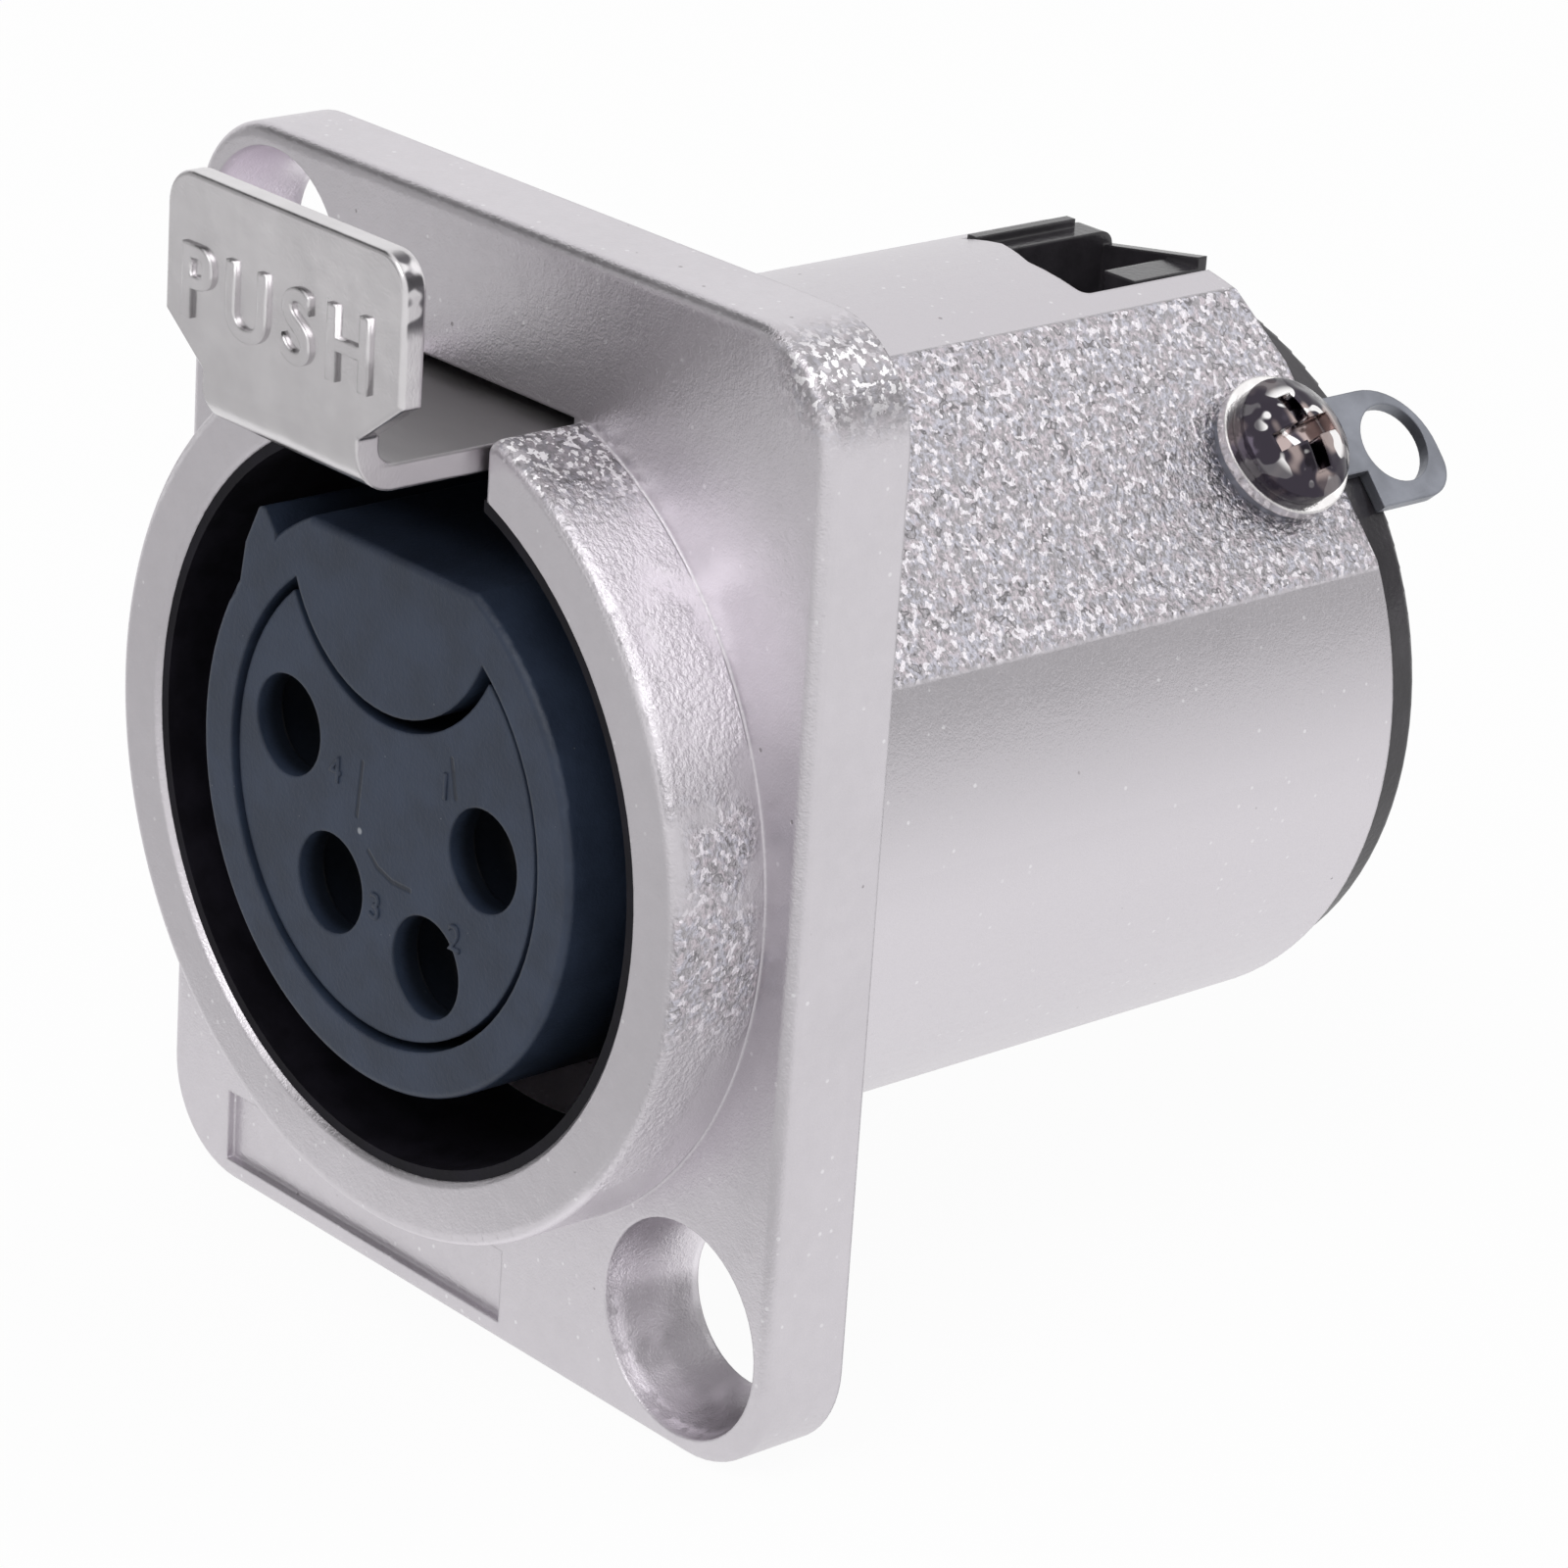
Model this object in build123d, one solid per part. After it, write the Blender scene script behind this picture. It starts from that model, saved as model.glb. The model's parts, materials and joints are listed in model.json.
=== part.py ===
from build123d import *
from math import asin, cos, degrees, radians, sin, sqrt
import os

# Four-contact female XLR socket for a panel, in millimetres.
# Y is the mating axis: the plug comes in from -Y and the panel face is Y = 0.
# Z points up at the push tab and X to the right as the plug sees it.

# Flange
flange_width = 26.0
flange_height = 31.0
flange_thickness = 2.65
flange_corner = 3.0
flange_edge_round = 0.4
screw_hole_margin = 3.5
screw_hole_radius = 2.3
countersink_radius = 3.0
countersink_depth = 2.45
plate_width = 12.4
plate_height = 2.1
plate_depth = 0.25
plate_side = 2.8
plate_foot = 0.65

# Ring round the mouth
ring_radius = 11.8
ring_height = 2.95
ring_edge_round = 0.35
mouth_radius = 10.2
mouth_bevel = 0.15
bore_radius = 9.75
liner_wall = 0.3
liner_end = 0.0

# Barrel behind the flange
barrel_radius = 10.75
barrel_top_radius = 11.85
barrel_length = 21.2
flat_distance = 10.38
flat_angle = 42.0
rear_bore_radius = 9.6
lip_thickness = 1.0
lip_radius = 9.0
rear_top_cut = 0.8
rear_top_cut_drop = 2.4

# Slot, channels and notch for the latch
gap_side = 0.2
gap_corner = 0.45
slot_headroom = 0.33
slot_floor = 4.9
channel_headroom = 0.13
channel_footroom = 0.12
channel_undercut = 1.0
strip_end_room = 0.4
hook_headroom = 0.05
notch_width = 5.7
notch_length = 4.8
notch_step = 0.7
notch_step_left = -1.2
notch_step_right = 0.6
notch_corner = 0.3

# Push tab, folded from sheet
sheet = 0.7
plate_front = 9.43
tab_width = 9.8
tab_overhang = 1.17
tab_corner = 1.0
tab_neck_corner = 1.25
tab_edge_round = 0.12
tab_shoulder = 11.6
strip_width = 6.4
strip_underside = 10.12
fold_radius = 1.2
strip_end = 0.25
arm_inner = 2.0
arm_outer = 2.95
leg_bottom = 7.9
finger_inner = 0.95
finger_outer = 1.6
finger_length = 2.15
finger_slope = 0.3
tab_travel = 2.0

# Latch hook and its pin
hook_half_width = 1.3
hook_thickness = 0.5
hook_underside = 10.2
hook_nose = 2.5
tooth_half_width = 0.8
tooth_length = 1.2
tooth_depth = 1.2
pivot_setback = 1.1
pivot_z = 10.0
pin_radius = 0.45
pin_half_length = 2.3
pin_clearance = 0.03
seat_clearance = 0.01
eye_wall = 0.32
tail_length = 2.6

# Springs
wire_radius = 0.14
tab_coil_radius = 0.6
tab_coil_turns = 13
tab_spring_x = 2.47
tab_spring_z = 8.6
tab_spring_depth = 5.6
hook_coil_radius = 0.72
hook_coil_turns = 4
hook_spring_back = 1.8
hook_spring_seat = 7.9
spring_clearance = 0.12

# Moulded insert
sleeve_radius = 7.8
sleeve_proud = 0.1
sleeve_top = 7.0
seam_radius = 6.53
seam_gap = 0.25
key_radius = 4.28
key_centre_z = 6.95
key_gap = 0.38
flange_radius = 9.5
sleeve_flange = 1.9
insert_flange = 1.5
top_flat_gap = 0.1
sleeve_edge_round = 0.2
ear_outline = [(-6.35, 4.3), (-6.15, 5.5), (-5.5, 6.85), (-4.9, 6.1), (-4.8, 5.3)]
ear_tip_round = 0.2

# Contacts
contact_places = [(4.2, -0.05), (2.05, -3.8), (-2.1, -2.85), (-4.15, 0.95)]
pin_bore_radius = 1.2
contact_radius = 1.6
contact_clearance = 0.05
mouth_hole_radius = 1.4
mouth_hole_depth = 0.85
contact_setback = 2.6
contact_slit = 0.3
contact_slit_length = 6.5
contact_bore_length = 12.0
collar_radius = 1.9
collar_length = 1.4
tail_radius = 1.3
cup_radius = 1.45
cup_bore_radius = 1.0
cup_bore_length = 3.0
cup_reach = 2.6
cup_cut = 0.3
cup_floor_length = 0.65

# Rear cover
cover_plug_length = 8.8
cover_setback = 0.03
cover_thickness = 1.3
cover_edge_round = 0.15
cover_core_radius = 2.2
cover_core_wall = 1.2
cover_core_z = 3.6

# Latch block
block_half_width = 2.7
block_headroom = 0.05
block_foot_half_width = 3.7
block_foot_drop = 1.2
block_overlap = 0.5
block_length = 8.9
block_slot_half_width = 1.45
tail_room = 0.4
block_slot_floor = 9.0
block_pit_floor = 9.6
block_rear_wall = 0.35
block_gutter_floor = 10.2
left_rail_width = 1.05
left_rail_height = 0.5
left_rail_gap = 0.1
left_rail_round = 0.45
fin_width = 0.35
fin_height = 0.75
fin_setback = 0.85
right_rail_width = 1.2
right_rail_height = 0.37
right_rail_offset = 0.9
right_rail_length = 2.8
rear_wall_left_height = 0.1
rear_wall_right_height = 0.7

# Ground screw, washer and lug on the right flat
screw_setback = 2.1
screw_up_flat = 0.8
screw_head_radius = 1.8
screw_head_height = 1.05
screw_head_land = 0.45
screw_shank_radius = 1.1
screw_thread_radius = 1.25
screw_length = 4.2
screw_pilot_radius = 1.0
recess_width = 0.55
recess_span = 2.3
recess_depth = 0.7
recess_turn = 7.0
washer_radius = 2.08
washer_thickness = 0.35
lug_thickness = 0.4
lug_ring_radius = 1.9
lug_reach = 5.78
lug_top = 1.17
lug_top_corner = 2.05
lug_foot = -2.28
lug_foot_corner = 1.0
lug_shoulder = 2.85
lug_neck_foot = -1.15
lug_eye_radius = 1.18
lug_eye_reach = 4.27
lug_eye_drop = 0.53

# How far a cutter runs past the piece that it cuts
beyond = 20.0

# Places that follow from the sizes above
flange_front = -flange_thickness
ring_front = flange_front - ring_height
rear_end = barrel_length
screw_hole_x = flange_width / 2 - screw_hole_margin
screw_hole_z = flange_height / 2 - screw_hole_margin
plate_left = -flange_width / 2 + plate_side
tab_top = flange_height / 2 + tab_overhang
flat_foot_z = flat_distance * sin(radians(flat_angle))
strip_top = strip_underside + sheet
slot_top = strip_top + slot_headroom
channel_top = strip_top + channel_headroom
gap_half_width = strip_width / 2 + gap_side
arm_channel_half_width = arm_outer + gap_side
hook_lift = finger_slope * tab_travel
hook_top = hook_underside + hook_thickness
block_front = rear_end - block_length
block_pit_end = rear_end - right_rail_length
pivot_y = block_front + pivot_setback
block_slot_end = pivot_y + tail_length + tail_room
hook_arm = pivot_y - hook_nose
hook_channel_top = hook_top + hook_lift + hook_headroom
hook_channel_half_width = hook_half_width + gap_side
cover_seat = rear_end - cover_plug_length
insert_seat = cover_seat - insert_flange
sleeve_seat = insert_seat - sleeve_flange
lip_start = sleeve_seat - lip_thickness
leg_front = sleeve_seat
leg_back = leg_front + sheet
face_y = ring_front
sleeve_front = face_y - sleeve_proud
screw_y = rear_end - screw_setback
top_flat = sleeve_top + top_flat_gap
contact_front = face_y + contact_setback
cup_end = rear_end + cover_thickness + cup_reach
notch_front = rear_end - notch_length
liner_radius = bore_radius + liner_wall
liner_front = ring_front + mouth_bevel
block_top = channel_top - block_headroom
cover_radius = flat_distance - cover_setback


def extrude_along_y(sketch, start, end):
    """Extrude a face drawn in X and Z from start to end along Y."""
    return extrude(Plane.XZ.offset(-end) * sketch, amount=end - start)


def rod(radius, start, end, x=0, z=0):
    """Make a round rod along Y."""
    return extrude_along_y(Pos(x, z) * Circle(radius), start, end)


def block(x0, x1, y0, y1, z0, z1):
    """Make a box from its six faces."""
    size = Box(x1 - x0, y1 - y0, z1 - z0)
    return Pos((x0 + x1) / 2, (y0 + y1) / 2, (z0 + z1) / 2) * size


def slice_across_x(points, x0, x1):
    """Extrude a polygon of (Y, Z) points from x0 to x1."""
    face = Plane.YZ.offset(x0) * make_face(Polyline(*points, close=True))
    return extrude(face, amount=x1 - x0)


def rod_across_x(radius, x0, x1, y, z):
    """Make a round rod along X."""
    return extrude(Plane.YZ.offset(x0) * Pos(y, z) * Circle(radius), amount=x1 - x0)


def above(z):
    """Make a rectangle in X and Z that covers everything above z."""
    return Pos(0, z + beyond / 2) * Rectangle(2 * beyond, beyond)


def beyond_flat(side):
    """Make a rectangle in X and Z outside the flat on one side."""
    angle = flat_angle if side > 0 else 180 - flat_angle
    return Rot(0, 0, angle) * Pos(flat_distance + beyond / 2, 0) * Rectangle(beyond, beyond)


def on_flat(y, up):
    """Return the place on the right flat at y and at a height up the flat."""
    turn = radians(flat_angle)
    origin = (
        flat_distance * cos(turn) - up * sin(turn),
        y,
        flat_distance * sin(turn) + up * cos(turn),
    )
    normal = (cos(turn), 0, sin(turn))
    return Plane(origin=origin, x_dir=(0, 1, 0), z_dir=normal)


def coil(mean_radius, length, turns):
    """Make a coil along +Z from the origin, its ends closed by their wire."""
    rise = length - 2 * wire_radius
    path = Pos(0, 0, wire_radius) * Helix(rise / turns, rise, mean_radius)
    section = Plane(origin=path @ 0, z_dir=path % 0) * Circle(wire_radius)
    return sweep(section, path=path, is_frenet=True)


def make_barrel():
    """Make the barrel: a round body, a wider top arc and two flats."""
    section = Circle(barrel_radius) + (Circle(barrel_top_radius) & above(flat_foot_z))
    for side in (1, -1):
        section -= beyond_flat(side)
    body = extrude_along_y(section, 0, barrel_length)
    top = barrel_top_radius
    wedge = [
        (rear_end - rear_top_cut, top),
        (rear_end, top - rear_top_cut_drop),
        (rear_end + beyond, top - rear_top_cut_drop),
        (rear_end + beyond, top + beyond),
        (rear_end - rear_top_cut, top + beyond),
    ]
    return body - slice_across_x(wedge, -top, top)


def make_flange():
    """Make the flange with its rounded front edge."""
    outline = RectangleRounded(flange_width, flange_height, flange_corner)
    plate = extrude_along_y(outline, flange_front, 0)
    front_edges = plate.faces().sort_by(Axis.Y)[0].edges()
    return fillet(front_edges, flange_edge_round)


def make_ring():
    """Make the raised ring with its gap for the push tab."""
    ring = rod(ring_radius, ring_front, flange_front)
    front_edge = ring.faces().sort_by(Axis.Y)[0].edges()
    ring = fillet(front_edge, ring_edge_round)
    wide = gap_half_width
    ring -= block(-wide, wide, ring_front, flange_front, slot_floor, beyond)
    gap_ends = ring.edges().filter_by(Axis.Y).group_by(Axis.Z)[-1]
    return fillet(gap_ends, gap_corner)


def make_screw_hole(x, z):
    """Make the cutter for one countersunk panel screw hole."""
    hole = rod(screw_hole_radius, flange_front, 0, x, z)
    cone = Cone(countersink_radius, screw_hole_radius, countersink_depth)
    cone = Pos(x, flange_front + countersink_depth / 2, z) * Rot(-90, 0, 0) * cone
    return hole + cone


def make_notch():
    """Make the cutter for the notch at the rear top."""
    half = notch_width / 2
    outline = [
        (-half, notch_front),
        (notch_step_left, notch_front),
        (notch_step_right, notch_front - notch_step),
        (half, notch_front - notch_step),
        (half, beyond + rear_end),
        (-half, beyond + rear_end),
    ]
    face = make_face(Polyline(*outline, close=True))
    notch = extrude(Plane.XY.offset(strip_underside) * face, amount=beyond)
    corners = notch.edges().filter_by(Axis.Z).group_by(Axis.Y)[0]
    return fillet(corners, notch_corner)


def make_shell():
    """Make the die-cast shell in one piece."""
    shell = make_flange() + make_ring() + make_barrel()
    shell -= rod(bore_radius, ring_front, lip_start)
    mouth = Cone(mouth_radius, liner_radius, mouth_bevel)
    shell -= Pos(0, ring_front + mouth_bevel / 2, 0) * Rot(-90, 0, 0) * mouth
    shell -= rod(liner_radius, liner_front, liner_end)
    shell -= rod(lip_radius, lip_start, sleeve_seat)
    shell -= rod(rear_bore_radius, sleeve_seat, rear_end)
    channel_foot = strip_underside - channel_footroom
    open_foot = channel_foot - channel_undercut
    wide = gap_half_width
    shell -= block(-wide, wide, flange_front, 0, slot_floor, slot_top)
    wide_end = strip_end + tab_travel + strip_end_room
    shell -= block(-wide, wide, 0, wide_end, open_foot, channel_top)
    arm = arm_channel_half_width
    shell -= block(-arm, arm, 0, lip_start, open_foot, channel_top)
    shell -= block(-arm, arm, lip_start, sleeve_seat, channel_foot, channel_top)
    shell -= block(-arm, arm, sleeve_seat, rear_end, top_flat, channel_top)
    hook = hook_channel_half_width
    shell -= block(-hook, hook, 0, pivot_y, channel_foot, hook_channel_top)
    shell -= make_notch()
    for x, z in ((-screw_hole_x, screw_hole_z), (screw_hole_x, -screw_hole_z)):
        shell -= make_screw_hole(x, z)
    plate_z = -flange_height / 2 + plate_foot
    shell -= block(
        plate_left,
        plate_left + plate_width,
        flange_front,
        flange_front + plate_depth,
        plate_z,
        plate_z + plate_height,
    ) - rod(ring_radius, flange_front, 0)
    pilot = Pos(0, 0, -flat_distance / 2) * Cylinder(screw_thread_radius, flat_distance)
    return shell - on_flat(screw_y, screw_up_flat) * pilot


def make_mouth_liner():
    """Make the thin black liner of the mouth, open where the tab slides."""
    wide = gap_half_width
    liner = rod(liner_radius, liner_front, liner_end) - rod(bore_radius, liner_front, liner_end)
    return liner - block(-wide, wide, liner_front, liner_end, slot_floor, beyond)


def cut_flat_top(piece, start, end):
    """Cut a piece level with the floor under the latch block."""
    return piece - block(-beyond, beyond, start, end, top_flat, beyond)


def crescent(radius, key):
    """Draw the insert's outline: a disc less the round key."""
    return Circle(radius) - Pos(0, key_centre_z) * Circle(key)


def make_sleeve():
    """Make the sleeve, with the key lobe, the flat at its top and the ear."""
    face = (Circle(sleeve_radius) - above(sleeve_top)) - crescent(seam_radius, key_radius)
    sleeve = extrude_along_y(face, sleeve_front, sleeve_seat)
    rim = sleeve.faces().sort_by(Axis.Y)[0].outer_wire().edges()
    sleeve = fillet(rim, sleeve_edge_round)
    ear = make_face(Polyline(*ear_outline, close=True))
    ear = fillet(ear.vertices().sort_by(Axis.Y)[-1], ear_tip_round)
    sleeve += extrude_along_y(ear, sleeve_front, sleeve_seat)
    seat = Circle(flange_radius) - crescent(seam_radius, key_radius)
    seat = extrude_along_y(seat, sleeve_seat, insert_seat)
    return sleeve + cut_flat_top(seat, sleeve_seat, insert_seat)


def make_contact_insert():
    """Make the inner insert with a stepped hole for each contact."""
    face = crescent(seam_radius - seam_gap, key_radius + key_gap)
    insert = extrude_along_y(face, face_y, insert_seat)
    seat = rod(flange_radius, insert_seat, cover_seat)
    insert += cut_flat_top(seat, insert_seat, cover_seat)
    way = contact_radius + contact_clearance
    for x, z in contact_places:
        insert -= rod(mouth_hole_radius, face_y, face_y + mouth_hole_depth, x, z)
        insert -= rod(way, face_y + mouth_hole_depth, cover_seat, x, z)
    return insert


def make_contact(x, z):
    """Make one socket contact: split tube, collar, tail and solder cup."""
    contact = rod(contact_radius, contact_front, cover_seat, x, z)
    contact += rod(collar_radius, cover_seat, cover_seat + collar_length, x, z)
    contact += rod(tail_radius, cover_seat, cup_end, x, z)
    cup_start = cup_end - cup_reach
    contact += rod(cup_radius, cup_start, cup_end, x, z)
    contact -= rod(pin_bore_radius, contact_front, contact_front + contact_bore_length, x, z)
    contact -= rod(cup_bore_radius, cup_end - cup_bore_length, cup_end, x, z)
    slit_end = contact_front + contact_slit_length
    half = contact_slit / 2
    reach = contact_radius + 1
    contact -= block(x - half, x + half, contact_front, slit_end, z - reach, z + reach)
    cup_open = cup_start + cup_floor_length
    return contact - block(x - reach, x + reach, cup_open, cup_end, z + cup_cut, z + reach)


def make_rear_cover():
    """Make the rear cover: a disc and the plug that holds the insert."""
    disc_start = rear_end
    disc_end = rear_end + cover_thickness
    disc = rod(cover_radius, disc_start, disc_end)
    disc = fillet(disc.faces().sort_by(Axis.Y)[-1].edges(), cover_edge_round)
    plug = rod(flange_radius, cover_seat, rear_end)
    cover = disc + cut_flat_top(plug, cover_seat, rear_end)
    for x, z in contact_places:
        collar = collar_radius + contact_clearance
        cover -= rod(collar, cover_seat, cover_seat + collar_length, x, z)
        cover -= rod(tail_radius + contact_clearance, cover_seat, disc_start, x, z)
        cover -= rod(cup_radius + contact_clearance, disc_start, disc_end, x, z)
    core_start = cover_seat + cover_core_wall
    cover -= rod(cover_core_radius, core_start, rear_end - cover_core_wall, 0, cover_core_z)
    pilot = Pos(0, 0, -screw_length / 2) * Cylinder(screw_pilot_radius, screw_length)
    return cover - on_flat(screw_y, screw_up_flat) * pilot


def make_latch_block():
    """Make the black block that carries the hook's pin and the springs."""
    foot_top = channel_top - block_foot_drop
    foot = Circle(flange_radius) & (above(top_flat) - above(foot_top))
    foot &= Rectangle(2 * block_foot_half_width, 2 * beyond)
    body = extrude_along_y(foot, block_front, rear_end)
    half = block_half_width
    body += block(-half, half, block_front, rear_end, foot_top - block_overlap, block_top)
    slot = block_slot_half_width
    body -= block(-slot, slot, block_front, block_slot_end, block_slot_floor, beyond)
    pit_left = -half + left_rail_width
    body -= block(pit_left, half, block_slot_end, block_pit_end, block_pit_floor, beyond)
    pit_back = rear_end - block_rear_wall
    rail_start = right_rail_offset
    body -= block(pit_left, rail_start, block_pit_end, pit_back, block_pit_floor, beyond)
    rail_end = rail_start + right_rail_width
    body -= block(rail_end, half, block_pit_end, rear_end, block_gutter_floor, beyond)
    left_start = notch_front + left_rail_gap
    left_top = block_top + left_rail_height
    rail_foot = block_top - block_overlap
    rail = block(-half, pit_left, left_start, rear_end, rail_foot, left_top)
    rear_top_edge = rail.edges().filter_by(Axis.X).group_by(Axis.Z)[-1].sort_by(Axis.Y)[-1]
    body += fillet(rear_top_edge, left_rail_round)
    fin_top = block_top + fin_height
    fin_end = rear_end - fin_setback
    body += block(-half, -half + fin_width, left_start, fin_end, rail_foot, fin_top)
    rail_top = block_top + right_rail_height
    body += block(rail_start, rail_end, block_pit_end, rear_end, rail_foot, rail_top)
    wall = make_face(
        Polyline(
            (pit_left, rail_foot),
            (pit_left, block_top + rear_wall_left_height),
            (rail_end, block_top + rear_wall_right_height),
            (rail_end, rail_foot),
            close=True,
        )
    )
    body += extrude_along_y(wall, pit_back, rear_end)
    body -= rod_across_x(pin_radius + seat_clearance, -half, half, pivot_y, pivot_z)
    for side in (1, -1):
        hole = tab_coil_radius + wire_radius + spring_clearance
        end = block_front + tab_spring_depth
        body -= rod(hole, block_front, end, side * tab_spring_x, tab_spring_z)
    height = block_slot_floor - hook_spring_seat
    well = Cylinder(hook_coil_radius + wire_radius + spring_clearance, height)
    middle = hook_spring_seat + height / 2
    return body - Pos(0, pivot_y + hook_spring_back, middle) * well


def make_push_tab():
    """Make the push tab: plate, fold, strip, two arms with legs, two fingers."""
    neck = strip_width / 2
    half = tab_width / 2
    back = -plate_front + sheet
    outline = make_face(
        Polyline(
            (-neck, strip_underside + fold_radius),
            (-neck, tab_shoulder),
            (-half, tab_shoulder + tab_neck_corner),
            (-half, tab_top),
            (half, tab_top),
            (half, tab_shoulder + tab_neck_corner),
            (neck, tab_shoulder),
            (neck, strip_underside + fold_radius),
            close=True,
        )
    )
    outline = fillet(outline.vertices().group_by(Axis.Y)[-1], tab_corner)
    tab = extrude_along_y(outline, -plate_front, back)
    plate_edges = tab.edges().filter_by(Axis.Y, reverse=True)
    plate_edges = plate_edges.filter_by_position(Axis.Z, tab_shoulder, tab_top, (False, True))
    tab = fillet(plate_edges, tab_edge_round)
    fold_y = -plate_front + fold_radius
    fold_z = strip_underside + fold_radius
    fold = Circle(fold_radius) - Circle(fold_radius - sheet)
    quarter = Pos(-fold_radius, -fold_radius) * Rectangle(2 * fold_radius, 2 * fold_radius)
    tab += extrude(Plane.YZ.offset(-neck) * Pos(fold_y, fold_z) * (fold & quarter), amount=2 * neck)
    tab += block(-neck, neck, fold_y, strip_end, strip_underside, strip_top)
    for side in (1, -1):
        arm = sorted((side * arm_inner, side * arm_outer))
        tab += block(*arm, strip_end, leg_back, strip_underside, strip_top)
        tab += block(*arm, leg_front, leg_back, leg_bottom, strip_top)
        finger = sorted((side * finger_inner, side * finger_outer))
        fall = finger_slope * finger_length
        drop = sheet * sqrt(1 + finger_slope**2)
        tab += slice_across_x(
            [
                (strip_end, strip_top),
                (strip_end + finger_length, strip_top - fall),
                (strip_end + finger_length, strip_top - fall - drop),
                (strip_end, strip_top - drop),
                (strip_end - sheet, strip_underside),
                (strip_end - sheet, strip_top),
            ],
            *finger,
        )
    return tab


def make_latch_hook():
    """Make the hook: a sheet lever with a tooth, a rolled eye and a tail."""
    half = hook_half_width
    tail_end = pivot_y + tail_length
    hook = block(-half, half, hook_nose, tail_end, hook_underside, hook_top)
    eye = pin_radius + pin_clearance + eye_wall
    hook += rod_across_x(eye, -half, half, pivot_y, pivot_z)
    hook -= rod_across_x(pin_radius + pin_clearance, -half, half, pivot_y, pivot_z)
    tooth_back = hook_nose + tooth_length
    tooth_foot = hook_underside - tooth_depth
    return hook + slice_across_x(
        [
            (hook_nose, hook_underside),
            (hook_nose + tooth_length / 2, tooth_foot),
            (tooth_back, tooth_foot),
            (tooth_back, hook_underside),
        ],
        -tooth_half_width,
        tooth_half_width,
    )


def make_ground_screw():
    """Make the domed screw with its cross recess, standing on the washer."""
    rise = screw_head_height - screw_head_land
    dome_radius = (screw_head_radius**2 + rise**2) / (2 * rise)
    head = Cylinder(screw_head_radius, screw_head_height)
    head = Pos(0, 0, screw_head_height / 2) * head
    head &= Pos(0, 0, screw_head_height - dome_radius) * Sphere(dome_radius)
    cross = Box(recess_span, recess_width, recess_depth)
    cross += Box(recess_width, recess_span, recess_depth)
    head -= Pos(0, 0, screw_head_height - recess_depth / 2) * Rot(0, 0, recess_turn) * cross
    base = lug_thickness + washer_thickness
    shank = Cylinder(screw_shank_radius, screw_length + base)
    shank = Pos(0, 0, (base - screw_length) / 2) * shank
    return on_flat(screw_y, screw_up_flat) * (Pos(0, 0, base) * head + shank)


def make_ground_washer():
    """Make the washer under the screw's head."""
    washer = Cylinder(washer_radius, washer_thickness)
    washer -= Cylinder(screw_thread_radius, washer_thickness)
    lift = lug_thickness + washer_thickness / 2
    return on_flat(screw_y, screw_up_flat) * Pos(0, 0, lift) * washer


def make_ground_lug():
    """Make the flat solder lug: a ring, a neck and a rounded paddle with an eye."""
    paddle = make_face(
        Polyline(
            (lug_shoulder, lug_foot),
            (lug_reach, lug_foot),
            (lug_reach, lug_top),
            (lug_shoulder, lug_top),
            close=True,
        )
    )
    foot_corner = paddle.vertices().group_by(Axis.X)[-1].sort_by(Axis.Y)[0]
    paddle = fillet(foot_corner, lug_foot_corner)
    top_corner = paddle.vertices().group_by(Axis.X)[-1].sort_by(Axis.Y)[-1]
    paddle = fillet(top_corner, lug_top_corner)
    neck = make_face(
        Polyline(
            (0, lug_neck_foot),
            (lug_shoulder, lug_neck_foot),
            (lug_shoulder, lug_top),
            (0, lug_top),
            close=True,
        )
    )
    outline = Circle(lug_ring_radius) + neck + paddle
    outline -= Circle(screw_thread_radius)
    outline -= Pos(lug_eye_reach, -lug_eye_drop) * Circle(lug_eye_radius)
    return on_flat(screw_y, screw_up_flat) * extrude(outline, amount=lug_thickness)


def make_tab_spring(side):
    """Make one of the coils that push the tab out."""
    length = block_front + tab_spring_depth - leg_back
    place = Pos(side * tab_spring_x, leg_back, tab_spring_z) * Rot(-90, 0, 0)
    return place * coil(tab_coil_radius, length, tab_coil_turns)


def make_hook_spring():
    """Make the coil under the hook's tail."""
    length = hook_underside - hook_spring_seat
    place = Pos(0, pivot_y + hook_spring_back, hook_spring_seat)
    return place * coil(hook_coil_radius, length, hook_coil_turns)


parts = {
    "shell": make_shell(),
    "mouth_liner": make_mouth_liner(),
    "insert_sleeve": make_sleeve(),
    "contact_insert": make_contact_insert(),
    "rear_cover": make_rear_cover(),
    "latch_block": make_latch_block(),
    "push_tab": make_push_tab(),
    "latch_hook": make_latch_hook(),
    "hook_pivot_pin": rod_across_x(pin_radius, -pin_half_length, pin_half_length, pivot_y, pivot_z),
    "hook_spring": make_hook_spring(),
    "tab_spring_left": make_tab_spring(-1),
    "tab_spring_right": make_tab_spring(1),
    "ground_screw": make_ground_screw(),
    "ground_washer": make_ground_washer(),
    "ground_lug": make_ground_lug(),
}
for number, place in enumerate(contact_places, start=1):
    parts[f"contact_{number}"] = make_contact(*place)

os.makedirs("parts", exist_ok=True)
for name, shape in parts.items():
    export_step(shape, f"parts/{name}.step")

hook_angle = degrees(asin(hook_lift / hook_arm))
print(f"tab travel {tab_travel} mm, hook lift {hook_lift:.2f} mm, hook angle {hook_angle:.3f} degrees")
print(f"screw hole circle {2 * sqrt(screw_hole_x**2 + screw_hole_z**2):.3f} mm")
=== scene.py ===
import json
import math

import bmesh
import bpy
from mathutils import Matrix, Vector


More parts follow.
